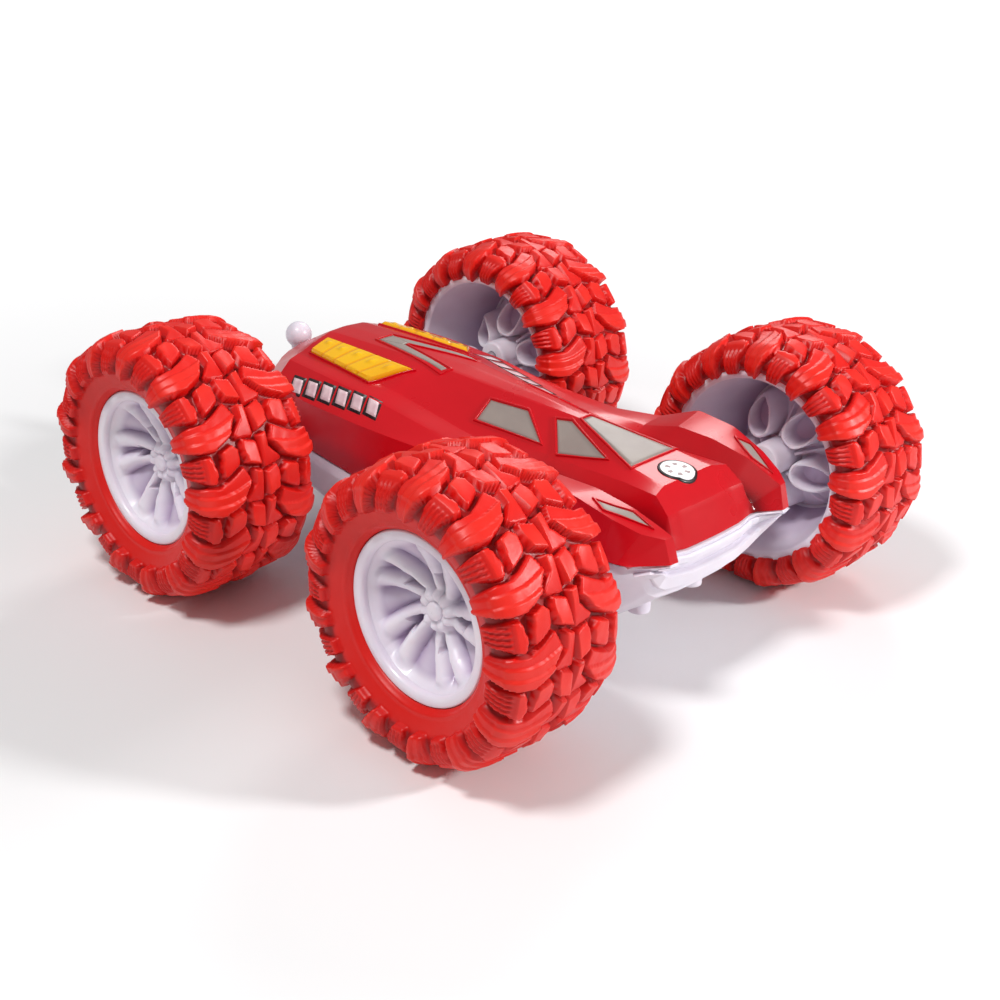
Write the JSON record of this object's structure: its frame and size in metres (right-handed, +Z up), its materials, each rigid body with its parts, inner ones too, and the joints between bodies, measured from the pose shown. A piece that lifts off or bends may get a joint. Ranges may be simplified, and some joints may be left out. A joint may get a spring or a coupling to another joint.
{
  "type": "rc stunt car",
  "caption": "Two-sided stunt car with big hollow treaded wheels, a low faceted shell, a tub chassis and a separate gear train driving each side.",
  "frame": {"origin": "on the ground, midway between the four wheels", "axes": "+X to the nose, +Y to the left side, +Z up"},
  "size_m": [0.1522, 0.14, 0.0617],
  "materials": {
    "red_shell": "glossy crimson moulded plastic",
    "white_plastic": "satin off-white plastic with a faint lilac cast",
    "window_grey": "taupe grey printed panel",
    "amber_lens": "amber yellow lens",
    "steel": "plain steel",
    "circuit_green": "green solder mask",
    "cell_wrap": "printed cell sleeve",
    "black_plastic": "black moulded plastic",
    "bronze": "sintered bronze",
    "tyre_red": "soft red moulded tyre",
    "gear_nylon": "natural nylon",
    "plate_grey": "grey plastic"
  },
  "bodies": {
    "root": {"body_shell": "red_shell", "chassis_tub": "white_plastic", "battery_door": "white_plastic", "window_panels": "window_grey", "headlight_panels": "window_grey", "rear_vent_panel": "window_grey", "deck_light_left": "amber_lens", "deck_light_right": "amber_lens", "hood_badge": "white_plastic", "rear_post": "white_plastic", "body_screws": "steel", "circuit_board": "circuit_green", "radio_can": "steel", "battery_cells": "cell_wrap", "battery_contacts": "steel", "power_switch_body": "black_plastic", "left_motor": "steel", "right_motor": "steel", "left_gear_plate": "plate_grey", "right_gear_plate": "plate_grey", "left_idler_pins": "steel", "right_idler_pins": "steel", "axle_bushes": "bronze"},
    "switch": {"power_switch_slider": "black_plastic"},
    "left_front_wheel": {"lf_axle": "steel", "lf_gear": "gear_nylon", "lf_rim": "white_plastic", "lf_tyre": "tyre_red", "lf_hub_screw": "steel"},
    "left_rear_wheel": {"lr_axle": "steel", "lr_gear": "gear_nylon", "lr_rim": "white_plastic", "lr_tyre": "tyre_red", "lr_hub_screw": "steel"},
    "right_front_wheel": {"rf_axle": "steel", "rf_gear": "gear_nylon", "rf_rim": "white_plastic", "rf_tyre": "tyre_red", "rf_hub_screw": "steel"},
    "right_rear_wheel": {"rr_axle": "steel", "rr_gear": "gear_nylon", "rr_rim": "white_plastic", "rr_tyre": "tyre_red", "rr_hub_screw": "steel"},
    "left_idler_1_gear": {"left_idler_1": "gear_nylon"},
    "left_idler_2_gear": {"left_idler_2": "gear_nylon"},
    "left_idler_3_gear": {"left_idler_3": "gear_nylon"},
    "left_idler_4_gear": {"left_idler_4": "gear_nylon"},
    "left_idler_5_gear": {"left_idler_5": "gear_nylon"},
    "left_pinion_gear": {"left_pinion": "gear_nylon"},
    "right_idler_1_gear": {"right_idler_1": "gear_nylon"},
    "right_idler_2_gear": {"right_idler_2": "gear_nylon"},
    "right_idler_3_gear": {"right_idler_3": "gear_nylon"},
    "right_idler_4_gear": {"right_idler_4": "gear_nylon"},
    "right_idler_5_gear": {"right_idler_5": "gear_nylon"},
    "right_pinion_gear": {"right_pinion": "gear_nylon"}
  },
  "joints": [
    {"name": "left_front_wheel_spin", "type": "hinge", "parent": "root", "child": "left_front_wheel", "pos_m": [0.045, 0.055, 0.031], "axis": [0, 1, 0], "continuous": true},
    {"name": "left_rear_wheel_spin", "type": "hinge", "parent": "root", "child": "left_rear_wheel", "pos_m": [-0.045, 0.055, 0.031], "axis": [0, 1, 0], "continuous": true},
    {"name": "right_front_wheel_spin", "type": "hinge", "parent": "root", "child": "right_front_wheel", "pos_m": [0.045, -0.055, 0.031], "axis": [0, 1, 0], "continuous": true},
    {"name": "right_rear_wheel_spin", "type": "hinge", "parent": "root", "child": "right_rear_wheel", "pos_m": [-0.045, -0.055, 0.031], "axis": [0, 1, 0], "continuous": true},
    {"name": "left_idler_1_spin", "type": "hinge", "parent": "root", "child": "left_idler_1_gear", "pos_m": [0.0288, 0.0197, 0.031], "axis": [0, 1, 0], "continuous": true},
    {"name": "left_idler_2_spin", "type": "hinge", "parent": "root", "child": "left_idler_2_gear", "pos_m": [0.0144, 0.0197, 0.031], "axis": [0, 1, 0], "continuous": true},
    {"name": "left_idler_3_spin", "type": "hinge", "parent": "root", "child": "left_idler_3_gear", "pos_m": [0, 0.0197, 0.031], "axis": [0, 1, 0], "continuous": true},
    {"name": "left_idler_4_spin", "type": "hinge", "parent": "root", "child": "left_idler_4_gear", "pos_m": [-0.0144, 0.0197, 0.031], "axis": [0, 1, 0], "continuous": true},
    {"name": "left_idler_5_spin", "type": "hinge", "parent": "root", "child": "left_idler_5_gear", "pos_m": [-0.0288, 0.0197, 0.031], "axis": [0, 1, 0], "continuous": true},
    {"name": "left_pinion_spin", "type": "hinge", "parent": "root", "child": "left_pinion_gear", "pos_m": [0, 0.0197, 0.0202], "axis": [0, 1, 0], "continuous": true},
    {"name": "right_idler_1_spin", "type": "hinge", "parent": "root", "child": "right_idler_1_gear", "pos_m": [0.0288, -0.0197, 0.031], "axis": [0, 1, 0], "continuous": true},
    {"name": "right_idler_2_spin", "type": "hinge", "parent": "root", "child": "right_idler_2_gear", "pos_m": [0.0144, -0.0197, 0.031], "axis": [0, 1, 0], "continuous": true},
    {"name": "right_idler_3_spin", "type": "hinge", "parent": "root", "child": "right_idler_3_gear", "pos_m": [0, -0.0197, 0.031], "axis": [0, 1, 0], "continuous": true},
    {"name": "right_idler_4_spin", "type": "hinge", "parent": "root", "child": "right_idler_4_gear", "pos_m": [-0.0144, -0.0197, 0.031], "axis": [0, 1, 0], "continuous": true},
    {"name": "right_idler_5_spin", "type": "hinge", "parent": "root", "child": "right_idler_5_gear", "pos_m": [-0.0288, -0.0197, 0.031], "axis": [0, 1, 0], "continuous": true},
    {"name": "right_pinion_spin", "type": "hinge", "parent": "root", "child": "right_pinion_gear", "pos_m": [0, -0.0197, 0.0202], "axis": [0, 1, 0], "continuous": true},
    {"name": "power_switch_slide", "type": "slide", "parent": "root", "child": "switch", "axis": [1, 0, 0], "range_m": [0, 0.003]}
  ],
  "couplings": [
    {"joint": "left_idler_1_spin", "follows": "left_front_wheel_spin", "ratio": -1.25},
    {"joint": "left_idler_2_spin", "follows": "left_front_wheel_spin", "ratio": 1.25},
    {"joint": "left_idler_3_spin", "follows": "left_front_wheel_spin", "ratio": -1.25},
    {"joint": "left_idler_4_spin", "follows": "left_front_wheel_spin", "ratio": 1.25},
    {"joint": "left_idler_5_spin", "follows": "left_front_wheel_spin", "ratio": -1.25},
    {"joint": "left_pinion_spin", "follows": "left_front_wheel_spin", "ratio": 2.5},
    {"joint": "left_rear_wheel_spin", "follows": "left_front_wheel_spin", "ratio": 1},
    {"joint": "right_idler_1_spin", "follows": "right_front_wheel_spin", "ratio": -1.25},
    {"joint": "right_idler_2_spin", "follows": "right_front_wheel_spin", "ratio": 1.25},
    {"joint": "right_idler_3_spin", "follows": "right_front_wheel_spin", "ratio": -1.25},
    {"joint": "right_idler_4_spin", "follows": "right_front_wheel_spin", "ratio": 1.25},
    {"joint": "right_idler_5_spin", "follows": "right_front_wheel_spin", "ratio": -1.25},
    {"joint": "right_pinion_spin", "follows": "right_front_wheel_spin", "ratio": 2.5},
    {"joint": "right_rear_wheel_spin", "follows": "right_front_wheel_spin", "ratio": 1}
  ]
}
